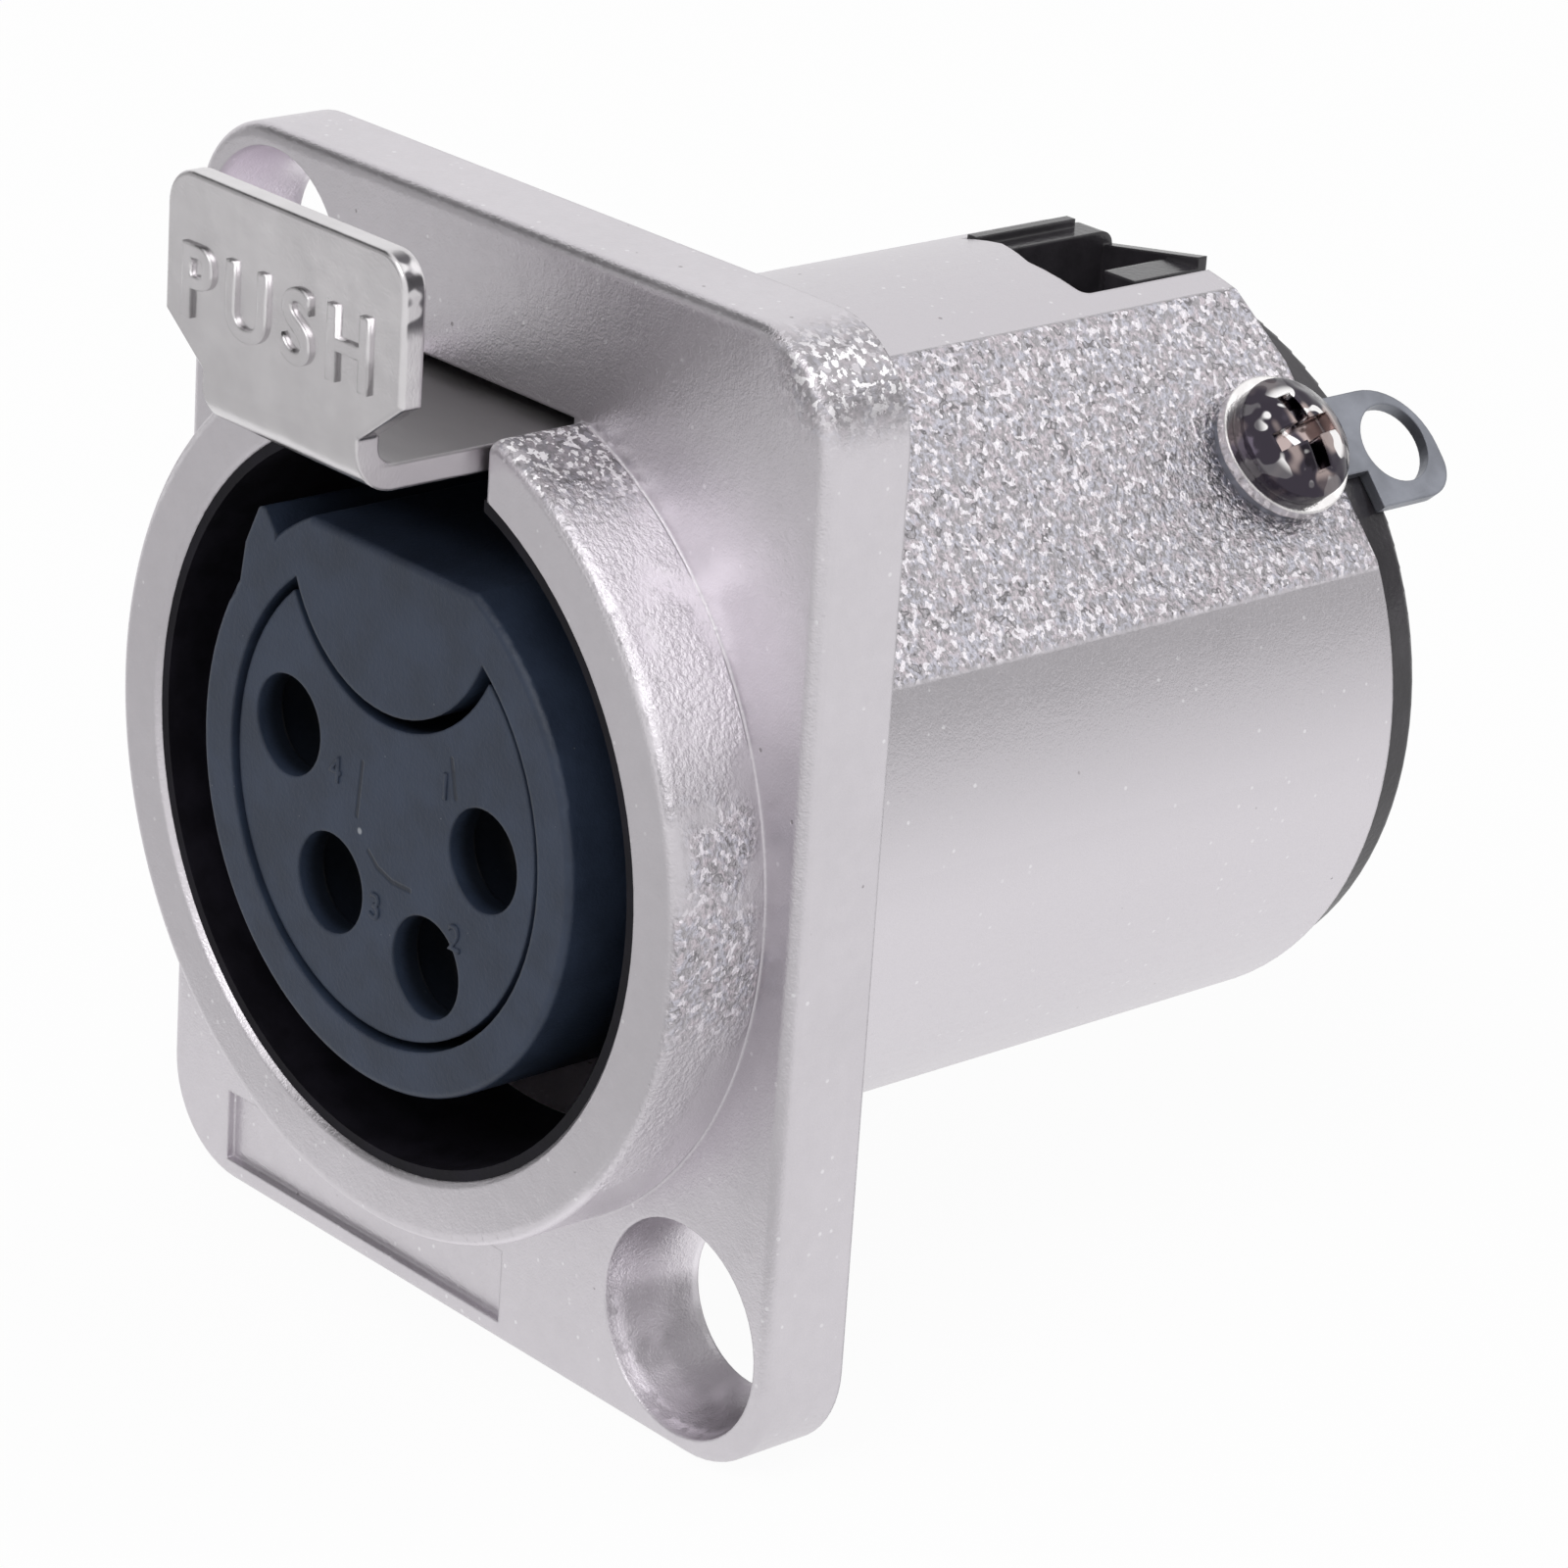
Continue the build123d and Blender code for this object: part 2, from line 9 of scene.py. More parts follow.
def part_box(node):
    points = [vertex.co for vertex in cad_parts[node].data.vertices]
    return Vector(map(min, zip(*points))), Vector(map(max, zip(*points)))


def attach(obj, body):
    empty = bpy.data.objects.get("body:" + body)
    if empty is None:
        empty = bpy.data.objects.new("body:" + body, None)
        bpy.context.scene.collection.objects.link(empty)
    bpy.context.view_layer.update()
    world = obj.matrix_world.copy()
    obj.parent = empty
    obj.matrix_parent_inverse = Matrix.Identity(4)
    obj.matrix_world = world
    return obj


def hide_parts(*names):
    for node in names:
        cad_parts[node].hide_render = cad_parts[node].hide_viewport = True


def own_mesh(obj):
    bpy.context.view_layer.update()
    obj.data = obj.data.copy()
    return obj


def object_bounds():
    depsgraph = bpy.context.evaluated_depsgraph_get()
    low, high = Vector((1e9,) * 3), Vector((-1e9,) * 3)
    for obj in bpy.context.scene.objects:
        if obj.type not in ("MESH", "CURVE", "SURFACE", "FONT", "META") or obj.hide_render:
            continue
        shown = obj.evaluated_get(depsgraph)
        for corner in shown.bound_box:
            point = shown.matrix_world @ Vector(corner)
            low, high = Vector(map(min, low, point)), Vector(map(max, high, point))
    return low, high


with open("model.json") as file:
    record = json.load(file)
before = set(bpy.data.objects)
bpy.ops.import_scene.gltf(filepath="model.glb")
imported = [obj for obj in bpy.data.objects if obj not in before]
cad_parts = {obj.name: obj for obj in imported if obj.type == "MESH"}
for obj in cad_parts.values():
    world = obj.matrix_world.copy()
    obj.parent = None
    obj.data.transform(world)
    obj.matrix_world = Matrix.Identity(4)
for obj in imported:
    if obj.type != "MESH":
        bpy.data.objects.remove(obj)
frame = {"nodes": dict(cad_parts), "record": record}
cad_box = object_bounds()
scene = bpy.context.scene
MM = 0.001

# Places on the socket, in metres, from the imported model
INSERT_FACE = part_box("contact_insert")[0][1]
SLEEVE_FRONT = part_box("insert_sleeve")[0][1]
TAB_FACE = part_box("push_tab")[0][1]
FLOOR_Z = cad_box[0][2]
FLAT_ANGLE = math.radians(42)
FLAT_NORMAL = Vector((math.cos(FLAT_ANGLE), 0, math.sin(FLAT_ANGLE)))
FLAT_DISTANCE = 10.38 * MM
RING_RADIUS = 11.8 * MM
FLANGE_FACE = -2.65 * MM
FLANGE_CORNER = (12.7 * MM, 15.2 * MM)
SCREW_HOLE_X = 9.5 * MM
SCREW_HOLE_Z = 12.0 * MM
GROUND_SCREW_Y = 19.1 * MM
GROUND_SCREW_UP_FLAT = 0.8 * MM

# Marks and numbers on the insert's face, in millimetres across and up
FLOW_MARKS = (
    (-0.92, 0.95, -1.08, -0.59),
    (2.76, 2.27, 2.99, 1.26),
    (-0.52, -1.42, -0.12, -1.73),
    (-0.12, -1.73, 0.52, -1.92),
    (0.52, -1.92, 1.27, -1.90),
)
DUST_SPOT = (-0.93, -0.98)
HOLE_NUMBERS = (("1", 2.55, 1.1), ("2", 3.2, -2.9), ("3", -0.15, -3.2), ("4", -2.05, 0.05))

# The sky's light on the object, beside the 1.0 that the camera and the metal see
SKY_LEVEL = 0.72


# Camera, at the photograph's angle

def place_camera():
    """Set the camera from its fitted place and axes."""
    right = Vector((0.6559, 0.7522, 0.0632)).normalized()
    up = Vector((-0.3139, 0.1957, 0.9291)).normalized()
    back = right.cross(up).normalized()
    up = back.cross(right)
    place = Vector((0.112192, -0.094346, 0.057257))
    camera = bpy.data.cameras.new("photo_camera")
    camera.sensor_fit = "HORIZONTAL"
    camera.sensor_width = 36
    camera.lens = 135.55
    camera.clip_start = 0.005
    camera.clip_end = 10
    holder = bpy.data.objects.new("photo_camera", camera)
    turn = Matrix((right, up, back)).transposed().to_4x4()
    holder.matrix_world = Matrix.Translation(place) @ turn
    scene.collection.objects.link(holder)
    scene.camera = holder


place_camera()


# Shader maths

class Wire:
    """An output socket that Python's operators add Math nodes to."""

    def __init__(self, sheet, socket):
        self.sheet = sheet
        self.socket = socket

    def math(self, operation, *values, clamp=False):
        settings = {"operation": operation, "use_clamp": clamp}
        return self.sheet.add("ShaderNodeMath", settings, list(values))

    def __add__(self, other):
        return self.math("ADD", self, other)

    def __radd__(self, other):
        return self.math("ADD", other, self)

    def __sub__(self, other):
        return self.math("SUBTRACT", self, other)

    def __rsub__(self, other):
        return self.math("SUBTRACT", other, self)

    def __mul__(self, other):
        return self.math("MULTIPLY", self, other)

    def __rmul__(self, other):
        return self.math("MULTIPLY", other, self)

    def __truediv__(self, other):
        return self.math("DIVIDE", self, other)

    def __rtruediv__(self, other):
        return self.math("DIVIDE", other, self)

    def __pow__(self, other):
        return self.math("POWER", self, other)

    def __abs__(self):
        return self.math("ABSOLUTE", self)

    def lower(self, other):
        return self.math("MINIMUM", self, other)

    def higher(self, other):
        return self.math("MAXIMUM", self, other)

    def root(self):
        return self.math("SQRT", self)

    def clear(self):
        """Hold the value between 0 and 1."""
        return self.math("ADD", self, 0.0, clamp=True)

    def ease(self, low, high):
        """Rise smoothly from 0 at low to 1 at high."""
        settings = {"interpolation_type": "SMOOTHSTEP"}
        values = {"Value": self, "From Min": low, "From Max": high}
        return self.sheet.add("ShaderNodeMapRange", settings, values)

    def between(self, start, full, fading, gone):
        """Rise from start to full, then fall again from fading to gone."""
        return self.ease(start, full) * (1 - self.ease(fading, gone))


class Sheet:
    """A node tree, to which one method adds every node."""

    def __init__(self, tree):
        self.tree = tree

    def add(self, kind, settings=None, values=None, outlet=0):
        """Add a node: its settings first, then its sockets' values or links."""
        node = self.tree.nodes.new(kind)
        for key, value in (settings or {}).items():
            setattr(node, key, value)
        items = values.items() if isinstance(values, dict) else enumerate(values or [])
        for key, value in items:
            socket = node.inputs[key]
            if isinstance(value, Wire):
                self.tree.links.new(value.socket, socket)
            elif socket.type == "RGBA":
                socket.default_value = (*value, 1)
            else:
                socket.default_value = value
        return Wire(self, node.outputs[outlet])

    def seen_rays(self):
        """1 for the rays that show the surroundings, and 0 for those that light."""
        seen = None
        for ray in ("Is Camera Ray", "Is Glossy Ray", "Is Transmission Ray"):
            path = self.add("ShaderNodeLightPath", outlet=ray)
            seen = path if seen is None else seen.higher(path)
        return seen


class Finish(Sheet):
    """One material: its nodes, and the surface's own point on the piece."""

    def __init__(self, name, colour, roughness, metallic=0.0, **constants):
        self.material = bpy.data.materials.new(name)
        self.material.use_nodes = True
        super().__init__(self.material.node_tree)
        self.shader = self.tree.nodes["Principled BSDF"]
        self.shader.inputs["Base Color"].default_value = (*colour, 1)
        self.shader.inputs["Roughness"].default_value = roughness
        self.shader.inputs["Metallic"].default_value = metallic
        for socket, value in constants.items():
            self.shader.inputs[socket.replace("_", " ")].default_value = value
        self.point = self.add("ShaderNodeTexCoord", outlet="Object")
        axes = self.add("ShaderNodeSeparateXYZ", values=[self.point])
        outlets = axes.socket.node.outputs
        self.x, self.y, self.z = (Wire(self, outlet) for outlet in outlets)

    def noise(self, size, detail=2.0, rough=0.5, stretch=None):
        """Noise whose lumps are about size millimetres across."""
        point = self.point
        if stretch:
            point = self.add("ShaderNodeMapping", None, {"Vector": point, "Scale": stretch})
        values = {"Vector": point, "Scale": 1 / (size * MM), "Detail": detail, "Roughness": rough}
        return self.add("ShaderNodeTexNoise", None, values)

    def cells(self, size):
        """Distance from the middles of cells about size millimetres across."""
        values = {"Vector": self.point, "Scale": 1 / (size * MM)}
        return self.add("ShaderNodeTexVoronoi", None, values, "Distance")

    def mix(self, share, first, second):
        """Blend two colours."""
        values = {0: share, 6: first, 7: second}
        return self.add("ShaderNodeMix", {"data_type": "RGBA"}, values, 2)

    def distance(self, x, y, z):
        """Distance from the surface to a line or a point; None leaves an axis out."""
        total = None
        for axis, place in ((self.x, x), (self.y, y), (self.z, z)):
            if place is None:
                continue
            square = (axis - place) ** 2.0
            total = square if total is None else total + square
        return total.root()

    def stroke(self, x0, z0, x1, z1):
        """Distance in millimetres from a line drawn across the mouth, end to end."""
        across, rise = x1 - x0, z1 - z0
        x = self.x / MM - x0
        z = self.z / MM - z0
        along = ((x * across + z * rise) / (across * across + rise * rise)).clear()
        return ((x - along * across) ** 2.0 + (z - along * rise) ** 2.0).root()

    def feed(self, socket, wire):
        """Link a wire to one of the shader's sockets."""
        self.tree.links.new(wire.socket, self.shader.inputs[socket])

    def round_edges(self, radius):
        """Round the sharp edges in the shading."""
        return self.add("ShaderNodeBevel", {"samples": 6}, {"Radius": radius * MM})

    def relief(self, height, depth, under=None):
        """Bump by height times depth millimetres."""
        values = {"Height": height, "Strength": 1.0, "Distance": depth * MM}
        if under:
            values["Normal"] = under
        return self.add("ShaderNodeBump", None, values)


def shade(colour, factor):
    """Multiply a colour by a number."""
    return tuple(min(channel * factor, 1.0) for channel in colour)


# Finish of the casting

CASTING = (0.64, 0.612, 0.645)
GLINT = (0.97, 0.95, 0.97)
SPARKLE_HIGHLIGHT = (0.96, 0.95, 0.97)
DARK_PIT = (0.22, 0.20, 0.20)
# Direction of the painted highlight on the ring's wall: towards its upper right
HIGHLIGHT_WAY = (0.643, 0.766)


def worm_lines(metal):
    """Thin dark lines that run through the coarse grain here and there."""
    line = 1 - abs(metal.noise(0.3, 1.0) - 0.36).ease(0.015, 0.05)
    return line * metal.noise(0.9).ease(0.42, 0.52)


def coarse_grain(metal, pebble, worm):
    """Colour of the coarse grain: warm and cool pebbles with painted shade in their hollows, worm lines
    and painted sparkle highlights.
    """
    cool = metal.noise(0.42, 1.0).ease(0.4, 0.6)
    tint = metal.mix(cool, (0.63, 0.57, 0.61), (0.595, 0.585, 0.655))
    # Painted shade: the pebbles' hollows, which the relief sinks, are darkened.
    tone = metal.mix(pebble.ease(0.4, 0.6), shade(CASTING, 0.64), tint)
    tone = metal.mix(worm, tone, shade(CASTING, 0.38))
    # Painted highlight: bright sparkles across the grain.
    sparkle = metal.noise(0.24, 2.0).ease(0.56, 0.62)
    return metal.mix(sparkle, tone, shade(CASTING, 1.42))


def barrel_painted_light(metal, height):
    """Painted light on the barrel: lighter below, darker towards the flats, plain on the top arc."""
    tone = metal.mix(height.ease(-0.2, 0.38), shade(CASTING, 1.14), shade(CASTING, 0.8))
    return metal.mix(height.ease(0.7, 0.85), tone, shade(CASTING, 0.95))


def ring_painted_light(metal, height, radius, worm):
    """Painted light on the ring's wall: a painted highlight at its upper right, lighter low down."""
    # Painted highlight towards the ring's upper right, weakened along the worm lines.
    toward = (metal.x * HIGHLIGHT_WAY[0] + metal.z * HIGHLIGHT_WAY[1]) / radius
    painted_highlight = toward.ease(0.84, 0.96) * (1 - worm * 0.5)
    # Painted light: the wall is lighter low down.
    low = 1 - height.ease(-0.7, -0.25)
    tone = metal.mix(low, shade(CASTING, 0.97), shade(CASTING, 1.32))
    return metal.mix(painted_highlight, tone, shade(CASTING, 1.42))


def paint_hole_light(metal, tone, cloud):
    """Paint light into both countersinks, painted shade into the lower one's foot, and a painted
    highlight on its rim.
    """
    upper = metal.distance(-SCREW_HOLE_X, None, SCREW_HOLE_Z)
    lower = metal.distance(SCREW_HOLE_X, None, -SCREW_HOLE_Z)
    in_upper = 1 - upper.ease(2.88 * MM, 3.0 * MM)
    in_lower = 1 - lower.ease(2.88 * MM, 3.0 * MM)
    top_half = metal.z.ease(-SCREW_HOLE_Z - 0.5 * MM, -SCREW_HOLE_Z + 0.3 * MM)
    foot = in_lower * (1 - top_half)
    # Painted light: the upper countersink and the top half of the lower one are lighter.
    tone = metal.mix((in_lower * top_half).higher(in_upper), tone, shade(CASTING, 1.32))
    # Painted shade on the lower countersink's foot, patchy with the cloud.
    painted_foot_shade = metal.mix(cloud.ease(0.4, 0.6), shade(CASTING, 0.45), shade(CASTING, 0.9))
    tone = metal.mix(foot * 0.75, tone, painted_foot_shade)
    # Painted highlight along the lower countersink's rim at its foot.
    lit_rim = foot * lower.ease(2.8 * MM, 2.92 * MM) * metal.noise(0.5, 2.0).ease(0.42, 0.55)
    return metal.mix(lit_rim, tone, shade(CASTING, 1.45))


def nickel_casting():
    """Pearl nickel on a die casting: a fine pebbled grain over slight waves."""
    metal = Finish("nickel_casting", CASTING, 0.34, 1.0)
    pebble = metal.noise(0.15, 3.0, 0.55)
    grit = metal.noise(0.06, 1.0)
    wave = metal.noise(1.4, 2.0)
    cloud = metal.noise(3.5, 3.0, 0.6)
    patches = metal.noise(3.0, 2.0).ease(0.42, 0.56)
    worm = worm_lines(metal)

    # Where the finish and the painted light change; height runs from -1 at the foot to 1 at the top
    across = abs(metal.x) * FLAT_NORMAL.x + metal.z * FLAT_NORMAL.z - FLAT_DISTANCE
    on_flat = 1 - abs(across).ease(0.02 * MM, 0.08 * MM)
    behind = metal.y.ease(0.0, 0.1 * MM)
    radius = metal.distance(0, None, 0)
    height = metal.z / radius
    outward = radius - RING_RADIUS
    ring_wall = outward.between(-0.2 * MM, -0.05 * MM, 0.05 * MM, 0.15 * MM)
    ring_wall = ring_wall * (1 - metal.y.ease(FLANGE_FACE - 0.1 * MM, FLANGE_FACE - 0.05 * MM))
    ring_end = height.ease(0.78, 0.9) * metal.x.ease(0.0, 0.5 * MM) * ring_wall
    ring_side = ring_wall * height.between(-0.3, -0.1, 0.2, 0.4) * patches
    from_corner = metal.distance(FLANGE_CORNER[0], None, FLANGE_CORNER[1])
    corner = 1 - from_corner.ease(1.0 * MM, 2.6 * MM)
    painted_dim_and_glint = corner.higher(ring_end)

    # Smooth skin, with painted light on the barrel and on the ring's wall
    stain = (cloud - 0.5) * 0.5 + (metal.noise(0.5) - 0.5) * 0.25 + 0.5
    tone = metal.mix(stain.ease(0.25, 0.75), shade(CASTING, 0.95), shade(CASTING, 1.05))
    # Painted light: the barrel behind the flange, off the flats, lighter below and darker towards the
    # flats.
    tone = metal.mix(behind * (1 - on_flat) * 0.8, tone, barrel_painted_light(metal, height))
    # Painted light on the ring's wall.
    tone = metal.mix(ring_wall * 0.9, tone, ring_painted_light(metal, height, radius, worm))

    # Coarse grain on the flats, and on the ring's end, its side and the corner; painted dark reflections
    # and painted glints at the ring's end and the corner
    grain = coarse_grain(metal, pebble, worm)
    # Painted dark reflection: the grain at the ring's end and the flange's corner is darkened.
    grain = metal.mix(painted_dim_and_glint * 0.5, grain, shade(CASTING, 0.26))
    # Painted glints on the ring's wall and the corner, shown at the ring's end and the corner.
    glint = metal.noise(0.2, 2.0).ease(0.54, 0.59) * ring_wall.higher(corner)
    grain = metal.mix(glint * painted_dim_and_glint, grain, GLINT)
    on_ring = (ring_end * 0.95).higher(ring_side * 0.8)
    grained = (on_flat * behind).higher(on_ring).higher(corner * 0.85)
    tone = metal.mix(grained, tone, grain)

    # Painted sparkles, painted light and shade in the countersinks, and pits
    # Painted highlight: small bright sparkles, kept off the ring's wall.
    painted_glint_dots = (1 - metal.cells(0.45).ease(0.09, 0.16)) * metal.noise(1.7).ease(0.5, 0.58)
    tone = metal.mix(painted_glint_dots * (1 - ring_wall) * 0.45, tone, SPARKLE_HIGHLIGHT)
    tone = paint_hole_light(metal, tone, cloud)
    pit = (1 - metal.cells(0.9).ease(0.045, 0.075)) * metal.noise(1.1).ease(0.56, 0.62)
    tone = metal.mix(pit * 0.55, tone, DARK_PIT)
    metal.feed("Base Color", tone)

    rough = 0.26 + cloud * 0.08 + pebble * 0.10 + pit * 0.2 + ring_wall * 0.18
    metal.feed("Roughness", rough)
    waved = metal.relief(wave, 0.02, metal.round_edges(0.12))
    coarse = (on_flat * behind).higher(ring_wall * patches)
    relief = pebble * (0.4 + coarse * 3.2) + grit * 0.3 - pit * 0.6
    metal.feed("Normal", metal.relief(relief, 0.03, waved))
    return metal.material


# Finishes of the other pieces

def plated_sheet():
    """Bright nickel on folded sheet: satin face, painted shade on the strip's top, painted dark
    reflections on the sheared edge.
    """
    colour = (0.66, 0.64, 0.655)
    metal = Finish("plated_sheet", colour, 0.26, 1.0)
    wave = metal.noise(2.2, 2.0)
    fine = metal.noise(0.09, 2.0, 0.6)
    cloud = metal.noise(1.6, 3.0)
    rub = metal.noise(0.5, 3.0, 0.6, (0.15, 1.0, 1.0))
    tone = metal.mix(cloud.ease(0.3, 0.7), shade(colour, 0.95), shade(colour, 1.05))
    # Painted shade on the top face of the strip behind the tab.
    shaded_strip_top = metal.z.between(10.72 * MM, 10.78 * MM, 10.84 * MM, 10.9 * MM)
    shaded_strip_top = shaded_strip_top * metal.y.ease(-8.8 * MM, -8.0 * MM)
    tone = metal.mix(shaded_strip_top, tone, shade(colour, 0.53))
    depth = metal.y - TAB_FACE
    # Painted dark reflections in patches on the upper right of the tab's sheared edge.
    sheared = depth.between(0.06 * MM, 0.14 * MM, 0.56 * MM, 0.64 * MM)
    upper_right = metal.x.ease(3.9 * MM, 4.4 * MM) * metal.z.ease(14.5 * MM, 15.0 * MM)
    dark_reflection_patch = metal.noise(0.6, 1.0).ease(0.4, 0.52) * 0.8 + 0.1
    tone = metal.mix(sheared * upper_right * dark_reflection_patch, tone, (0.07, 0.065, 0.075))
    metal.feed("Base Color", tone)
    metal.feed("Roughness", 0.12 + cloud * 0.12 + rub * 0.10 + shaded_strip_top * 0.2)
    waved = metal.relief(wave, 0.05, metal.round_edges(0.11))
    metal.feed("Normal", metal.relief(fine + rub * 0.5, 0.003, waved))
    return metal.material


def polished_steel():
    """Bright plated steel with faint turning marks and handling haze."""
    colour = (0.74, 0.72, 0.72)
    metal = Finish("polished_steel", colour, 0.12, 1.0)
    haze = metal.noise(0.7, 3.0)
    fine = metal.noise(0.12, 2.0)
    metal.feed("Base Color", metal.mix(haze.ease(0.35, 0.7), shade(colour, 0.85), shade(colour, 1.06)))
    metal.feed("Roughness", 0.07 + haze * 0.16)
    edge = metal.round_edges(0.09)
    metal.feed("Normal", metal.relief(fine, 0.008, edge))
    return metal.material


def screw_painted_reflection():
    """Nickel on a cold-headed screw, glossy and dented, coloured with painted reflections: near black,
    with beige patches, darker at the rim and bright painted highlights in places.
    """
    # Painted dark reflection: the screw's metal is coloured near black.
    colour = (0.048, 0.041, 0.054)
    metal = Finish("screw_painted_reflection", colour, 0.12, 1.0)
    dent = metal.noise(0.8, 1.0)
    haze = metal.noise(1.0, 1.0)
    # Painted reflection: beige patches over the dark colour.
    tone = metal.mix(haze.ease(0.5, 0.6), colour, (0.36, 0.29, 0.28))
    along = metal.y - GROUND_SCREW_Y
    up_flat = metal.z * FLAT_NORMAL.x - metal.x * FLAT_NORMAL.z - GROUND_SCREW_UP_FLAT
    # Painted dark reflection towards the head's rim.
    rim = (along ** 2.0 + up_flat ** 2.0).root().ease(1.25 * MM, 1.5 * MM)
    # Painted highlights: bright patches, kept off the rim.
    painted_highlight = metal.noise(0.75, 1.0).ease(0.575, 0.61) * (1 - rim * 0.9)
    tone = metal.mix(rim * 0.8, tone, colour)
    metal.feed("Base Color", metal.mix(painted_highlight, tone, (0.92, 0.90, 0.90)))
    metal.feed("Roughness", 0.06 + haze * 0.14)
    edge = metal.round_edges(0.12)
    metal.feed("Normal", metal.relief(dent, 0.12, edge))
    return metal.material


def spring_steel():
    """Drawn spring wire with fine lines along the draw."""
    colour = (0.50, 0.49, 0.48)
    metal = Finish("spring_steel", colour, 0.3, 1.0)
    line = metal.noise(0.05, 2.0, 0.5, (1.0, 1.0, 0.2))
    metal.feed("Base Color", metal.mix(line, shade(colour, 0.85), shade(colour, 1.1)))
    metal.feed("Roughness", 0.22 + line * 0.15)
    metal.feed("Normal", metal.relief(line, 0.004))
    return metal.material


def tinned_lug():
    """Dull tin plate with a soft frost."""
    colour = (0.255, 0.265, 0.30)
    metal = Finish("tinned_lug", colour, 0.45, 0.85)
    frost = metal.noise(0.22, 3.0, 0.6)
    cloud = metal.noise(1.3, 2.0)
    metal.feed("Base Color", metal.mix(cloud.ease(0.3, 0.7), shade(colour, 0.85), shade(colour, 1.12)))
    metal.feed("Roughness", 0.36 + frost * 0.16)
    edge = metal.round_edges(0.08)
    metal.feed("Normal", metal.relief(frost, 0.01, edge))
    return metal.material


def contact_silver():
    """Silver plate on turned brass, slightly dulled."""
    colour = (0.72, 0.69, 0.64)
    metal = Finish("contact_silver", colour, 0.28, 1.0)
    ring = metal.noise(0.09, 2.0, 0.5, (0.2, 1.0, 0.2))
    dull = metal.noise(1.2, 3.0)
    metal.feed("Base Color", metal.mix(dull.ease(0.4, 0.75), colour, (0.50, 0.44, 0.36)))
    metal.feed("Roughness", 0.2 + ring * 0.15)
    edge = metal.round_edges(0.08)
    metal.feed("Normal", metal.relief(ring, 0.006, edge))
    return metal.material


SLATE = (0.026, 0.037, 0.064)


def flow_grooves(plastic):
    """Thin lines on the insert's face where the moulding's flows met."""
    gap = None
    for ends in FLOW_MARKS:
        near = plastic.stroke(*ends)
        gap = near if gap is None else gap.lower(near)
    return 1 - gap.ease(0.03, 0.11)


def mark_insert(plastic, tone, groove, front):
    """Darken the grooves, paint shade into the holes' depths, and leave a spot of dust."""
    tone = plastic.mix(groove * 0.6, tone, shade(SLATE, 0.25))
    # Painted shade: the insert behind its face, down the holes, is darkened.
    deep = plastic.y.ease(INSERT_FACE + 0.1 * MM, INSERT_FACE + 0.6 * MM)
    tone = plastic.mix(deep, tone, shade(SLATE, 0.22))
    spot = plastic.distance(DUST_SPOT[0] * MM, None, DUST_SPOT[1] * MM)
    speck = 1 - spot.ease(0.05 * MM, 0.12 * MM)
    return plastic.mix(speck * front * 0.5, tone, (0.50, 0.52, 0.55))


def dark_moulding(name, marks=False):
    """Slate grey moulding with a faint cloud, flow lines and dust, and painted shade deep down."""
    plastic = Finish(name, SLATE, 0.42, 0.0, Specular_IOR_Level=0.35)
    cloud = plastic.noise(1.6, 4.0, 0.6)
    height = plastic.noise(0.12, 2.0, 0.6)
    dust = (1 - plastic.cells(0.42).ease(0.03, 0.06)) * plastic.noise(0.9).ease(0.55, 0.62)
    tone = plastic.mix(cloud.ease(0.3, 0.72), shade(SLATE, 0.82), shade(SLATE, 1.18))
    # Painted shade: the moulding is darkened far behind the sleeve's front.
    sunk = plastic.y.ease(SLEEVE_FRONT + 1.2 * MM, SLEEVE_FRONT + 3.4 * MM)
    tone = plastic.mix(sunk, tone, shade(SLATE, 0.3))
    if marks:
        front = 1 - plastic.y.ease(INSERT_FACE + 0.05 * MM, INSERT_FACE + 0.15 * MM)
        groove = flow_grooves(plastic) * front
        tone = mark_insert(plastic, tone, groove, front)
        height = height - groove * 1.5
    tone = plastic.mix(dust * 0.35, tone, (0.35, 0.36, 0.38))
    plastic.feed("Base Color", tone)
    plastic.feed("Roughness", 0.34 + cloud * 0.16)
    edge = plastic.round_edges(0.14)
    plastic.feed("Normal", plastic.relief(height, 0.012, edge))
    return plastic.material


def black_moulding():
    """Black moulding with a slightly glossy skin."""
    colour = (0.034, 0.031, 0.036)
    plastic = Finish("black_moulding", colour, 0.22, 0.0)
    cloud = plastic.noise(1.2, 3.0)
    fine = plastic.noise(0.15, 2.0)
    plastic.feed("Base Color", plastic.mix(cloud.ease(0.3, 0.7), shade(colour, 0.8), shade(colour, 1.3)))
    plastic.feed("Roughness", 0.12 + cloud * 0.18)
    edge = plastic.round_edges(0.12)
    plastic.feed("Normal", plastic.relief(fine, 0.01, edge))
    return plastic.material


def liner_black_and_painted_shade():
    """Matt black moulding inside the mouth, coloured darker than black plastic as painted shade, so it
    shows almost no light.
    """
    # Painted shade: a near-zero colour on top of the black moulding.
    colour = (0.008, 0.007, 0.011)
    plastic = Finish("liner_black_and_painted_shade", colour, 0.6, 0.0, Specular_IOR_Level=0.15)
    cloud = plastic.noise(1.0, 3.0)
    plastic.feed("Base Color", plastic.mix(cloud.ease(0.3, 0.7), shade(colour, 0.7), shade(colour, 1.3)))
    plastic.feed("Roughness", 0.5 + cloud * 0.2)
    plastic.feed("Normal", plastic.relief(plastic.noise(0.2), 0.01))
    return plastic.material


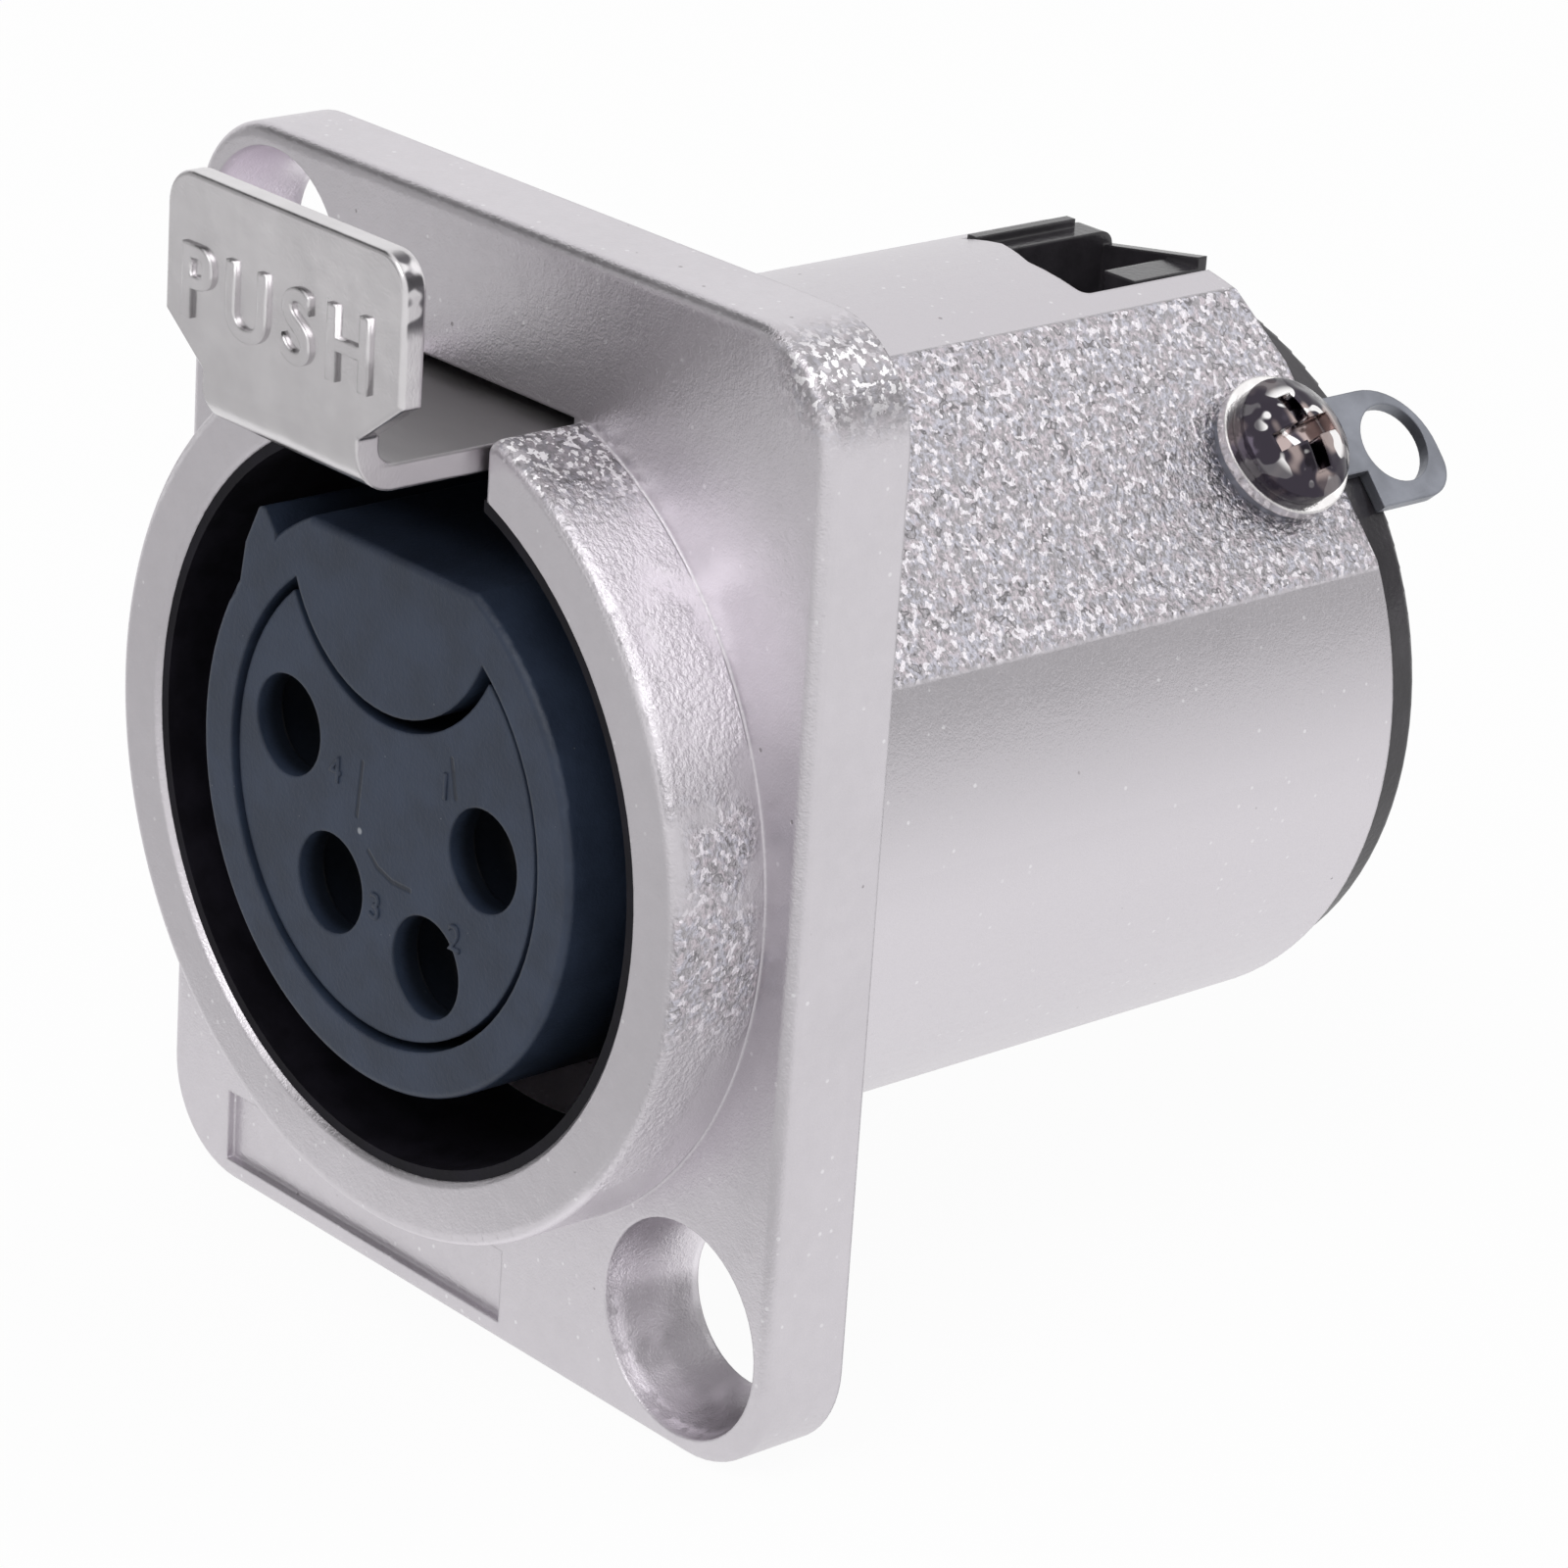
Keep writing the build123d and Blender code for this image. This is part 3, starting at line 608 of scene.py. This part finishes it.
MATERIALS = {
    "nickel_casting": nickel_casting(),
    "plated_sheet": plated_sheet(),
    "polished_steel": polished_steel(),
    "spring_steel": spring_steel(),
    "tinned_lug": tinned_lug(),
    "contact_silver": contact_silver(),
    "dark_moulding": dark_moulding("dark_moulding"),
    "black_moulding": black_moulding(),
}
OWN_FINISHES = {
    "contact_insert": dark_moulding("insert_moulding", marks=True),
    "mouth_liner": liner_black_and_painted_shade(),
    "ground_screw": screw_painted_reflection(),
}


def dress_nodes():
    """Give every CAD node the finish of its slot, or its own."""
    slots = {entry["node"]: entry["material_slot"] for entry in frame["record"]["subparts"]}
    for name, node in frame["nodes"].items():
        node.data.materials.clear()
        node.data.materials.append(OWN_FINISHES.get(name, MATERIALS[slots[name]]))


dress_nodes()


# Lettering, which faces the front

LETTER_RIGHT = Vector((1, 0, 0))
LETTER_UP = Vector((0, 0, 1))
CAPITAL_HEIGHT = 0.72
LETTER_BEVEL = 0.012


def raise_letters(name, text, place, height, relief, material, bold=0.0, spacing=1.05):
    """Make raised letters as a mesh: place is the middle of the foot of the word."""
    curve = bpy.data.curves.new(name, "FONT")
    curve.body = text
    curve.size = 1.0
    curve.align_x = "CENTER"
    curve.extrude = relief / height * CAPITAL_HEIGHT
    curve.bevel_depth = LETTER_BEVEL
    curve.bevel_resolution = 1
    curve.offset = bold
    curve.space_character = spacing
    holder = bpy.data.objects.new(name, curve)
    scene.collection.objects.link(holder)
    depsgraph = bpy.context.evaluated_depsgraph_get()
    mesh = bpy.data.meshes.new_from_object(holder.evaluated_get(depsgraph))
    bpy.data.objects.remove(holder)
    axes = Matrix((LETTER_RIGHT, LETTER_UP, LETTER_RIGHT.cross(LETTER_UP)))
    turn = axes.transposed().to_4x4()
    size = Matrix.Scale(height / CAPITAL_HEIGHT, 4)
    mesh.transform(Matrix.Translation(place) @ turn @ size)
    mesh.update()
    mesh.materials.clear()
    mesh.materials.append(material)
    piece = bpy.data.objects.new(name, mesh)
    scene.collection.objects.link(piece)
    return piece


def press_word():
    """Emboss the word on the tab's face."""
    place = (-0.2 * MM, TAB_FACE, 12.95 * MM)
    word = raise_letters(
        "tab_word",
        "PUSH",
        place,
        height=1.95 * MM,
        relief=0.09 * MM,
        material=MATERIALS["plated_sheet"],
        bold=0.01,
        spacing=1.37,
    )
    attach(word, "push_tab")


def number_holes():
    """Raise a small number beside each contact hole."""
    for text, x, z in HOLE_NUMBERS:
        digit = raise_letters(
            f"contact_number_{text}",
            text,
            (x * MM, INSERT_FACE, z * MM),
            height=0.75 * MM,
            relief=0.03 * MM,
            material=OWN_FINISHES["contact_insert"],
        )
        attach(digit, "socket")


press_word()
number_holes()


# Springs

def stand_coil(node):
    """Stand a copy of the CAD coil on the socket, and hide the CAD coil."""
    solid = frame["nodes"][node]
    mesh = solid.data.copy()
    mesh.transform(solid.matrix_world)
    coil = bpy.data.objects.new(f"{node}_coil", mesh)
    scene.collection.objects.link(coil)
    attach(coil, "socket")
    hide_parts(node)
    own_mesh(coil)


def stand_coils():
    """Stand copies of the tab's two coils and the hook's coil."""
    for node in ("tab_spring_left", "tab_spring_right"):
        stand_coil(node)
    stand_coil("hook_spring")


stand_coils()


# Floor, lights and world

def lay_face(name, corners):
    """Make one flat face through its corners."""
    bm = bmesh.new()
    bm.faces.new([bm.verts.new(corner) for corner in corners])
    mesh = bpy.data.meshes.new(name)
    bm.to_mesh(mesh)
    bm.free()
    face = bpy.data.objects.new(name, mesh)
    scene.collection.objects.link(face)
    return face


def lay_floor(reach=1.5, whitened=0.94):
    """Lay a floor that shows white, and keeps a faint shadow."""
    square = ((-reach, -reach), (reach, -reach), (reach, reach), (-reach, reach))
    floor = lay_face("floor", [(x, y, FLOOR_Z) for x, y in square])
    paint = Finish("floor_paint", (0.92, 0.92, 0.92), 0.9)
    white = paint.add("ShaderNodeEmission", values={"Color": (1, 1, 1), "Strength": 1.0})
    surface = Wire(paint, paint.shader.outputs[0])
    share = paint.seen_rays() * whitened
    shown = paint.add("ShaderNodeMixShader", values=[share, surface, white])
    output = paint.tree.nodes["Material Output"]
    paint.tree.links.new(shown.socket, output.inputs["Surface"])
    floor.data.materials.append(paint.material)


def add_softbox(name, place, power, width=0.40):
    """Hang a soft square lamp and aim it at the socket."""
    lamp = bpy.data.lights.new(name, "AREA")
    lamp.shape = "SQUARE"
    lamp.size = width
    lamp.energy = power
    holder = bpy.data.objects.new(name, lamp)
    aim = -Vector(place)
    holder.rotation_euler = aim.to_track_quat("-Z", "Y").to_euler()
    holder.location = place
    scene.collection.objects.link(holder)


def hang_card(name, corners, level):
    """Hang a plain grey card that only shows in reflections."""
    card = lay_face(name, corners)
    card.visible_camera = False
    card.visible_diffuse = False
    card.visible_transmission = False
    card.visible_shadow = False
    paint = Finish(name, (0, 0, 0), 1.0, Specular_IOR_Level=0.0, Emission_Strength=1.0)
    paint.shader.inputs["Emission Color"].default_value = (level, level, level, 1)
    card.data.materials.append(paint.material)


def square_card(name, direction, distance, half, level):
    """Hang a square card that faces the socket from one direction."""
    way = Vector(direction).normalized()
    side = way.cross(Vector((0, 0, 1))).normalized() * half
    rise = side.cross(way).normalized() * half
    turns = ((-1, -1), (1, -1), (1, 1), (-1, 1))
    hang_card(name, [way * distance + side * a + rise * b for a, b in turns], level)


def floor_card(name, corners, level, lift=0.2):
    """Lay a card just over the floor, with its corners in millimetres."""
    hang_card(name, [(x * MM, y * MM, FLOOR_Z + lift * MM) for x, y in corners], level)


def light_world():
    """Light all round, and show plain white to the camera and in the metal."""
    world = bpy.data.worlds.new("studio")
    scene.world = world
    world.use_nodes = True
    sky = Sheet(world.node_tree)
    sky.tree.nodes.clear()
    strength = SKY_LEVEL + sky.seen_rays() * (1 - SKY_LEVEL)
    light = sky.add("ShaderNodeBackground", values={"Color": (1, 1, 1), "Strength": strength})
    output = sky.tree.nodes.new("ShaderNodeOutputWorld")
    sky.tree.links.new(light.socket, output.inputs["Surface"])


lay_floor()
light_world()
add_softbox("softbox_front", (0.22, -0.38, 0.55), power=1.1)
add_softbox("softbox_back", (0.29, 0.50, 0.55), power=0.26)
square_card("card_left", (-0.687, -0.365, 0.60), distance=0.5, half=0.20, level=0.06)
square_card("card_low", (-0.70, -0.64, -0.10), distance=0.16, half=0.11, level=0.45)
floor_card("card_floor", ((60, -12), (-60, -12), (-140, -80), (0, -80)), level=0.66)
square_card("card_back", (0.69, 0.63, 0.36), distance=0.5, half=0.12, level=0.45)

scene.view_settings.view_transform = "Standard"
